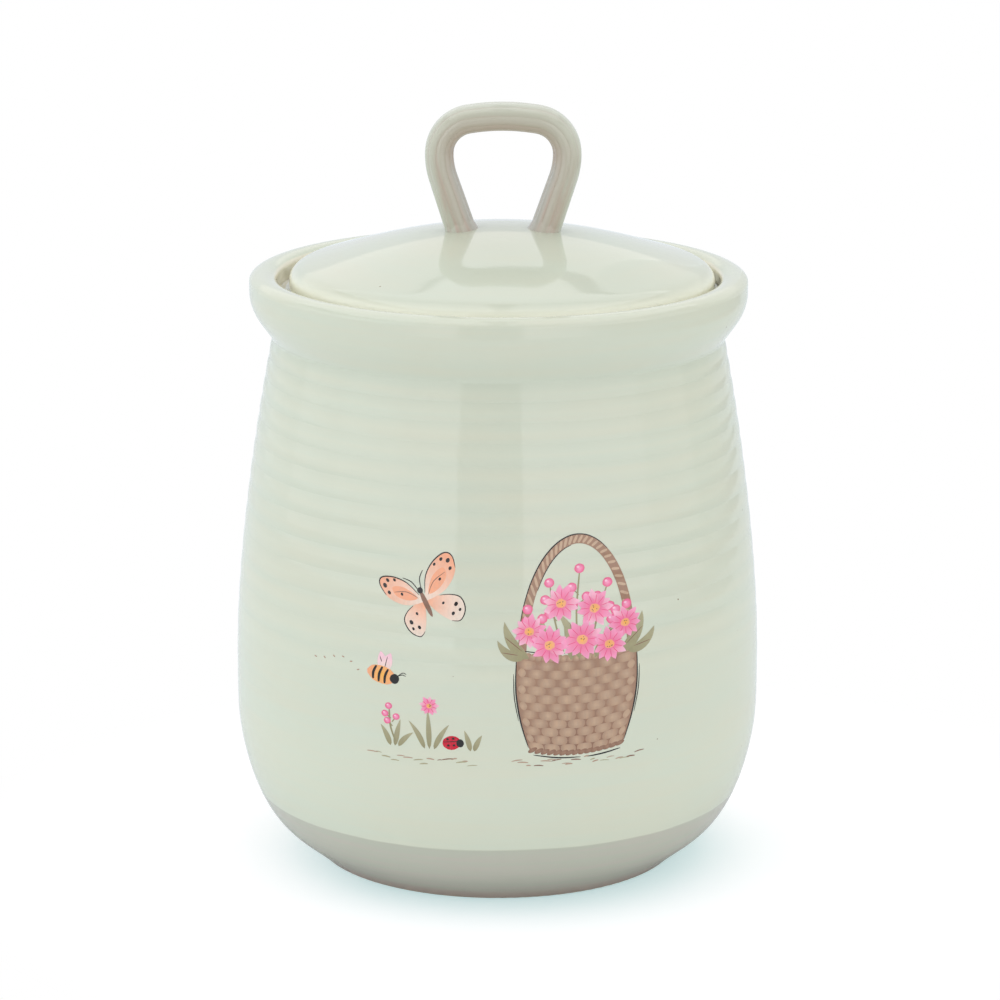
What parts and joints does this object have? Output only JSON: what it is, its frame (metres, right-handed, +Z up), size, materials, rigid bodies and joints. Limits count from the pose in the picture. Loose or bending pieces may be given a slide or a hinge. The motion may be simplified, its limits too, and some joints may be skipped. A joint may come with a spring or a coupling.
{
  "type": "biscuit jar",
  "caption": "Bellied ceramic biscuit jar with throwing ridges, a rolled collar, a dipped foot and a lift-off domed lid with a looped handle.",
  "frame": {"origin": "centre of the foot, on the surface the jar stands on", "axes": "+Z up along the jar's axis, X along the lid handle's loop, -Y towards the decorated front"},
  "size_m": [0.152, 0.152, 0.2203],
  "materials": {
    "jar_glaze": "gloss cream glaze, taupe dipped foot",
    "lid_glaze": "gloss cream glaze",
    "handle_glaze": "gloss taupe glaze",
    "silicone": "satin white silicone"
  },
  "bodies": {
    "jar": {"jar_body": "jar_glaze"},
    "lid": {"lid": "lid_glaze", "lid_handle": "handle_glaze", "lid_seal": "silicone"}
  },
  "joints": [
    {"name": "lid_lift", "type": "slide", "parent": "jar", "child": "lid", "axis": [0, 0, 1], "range_m": [0, 0.1]}
  ]
}
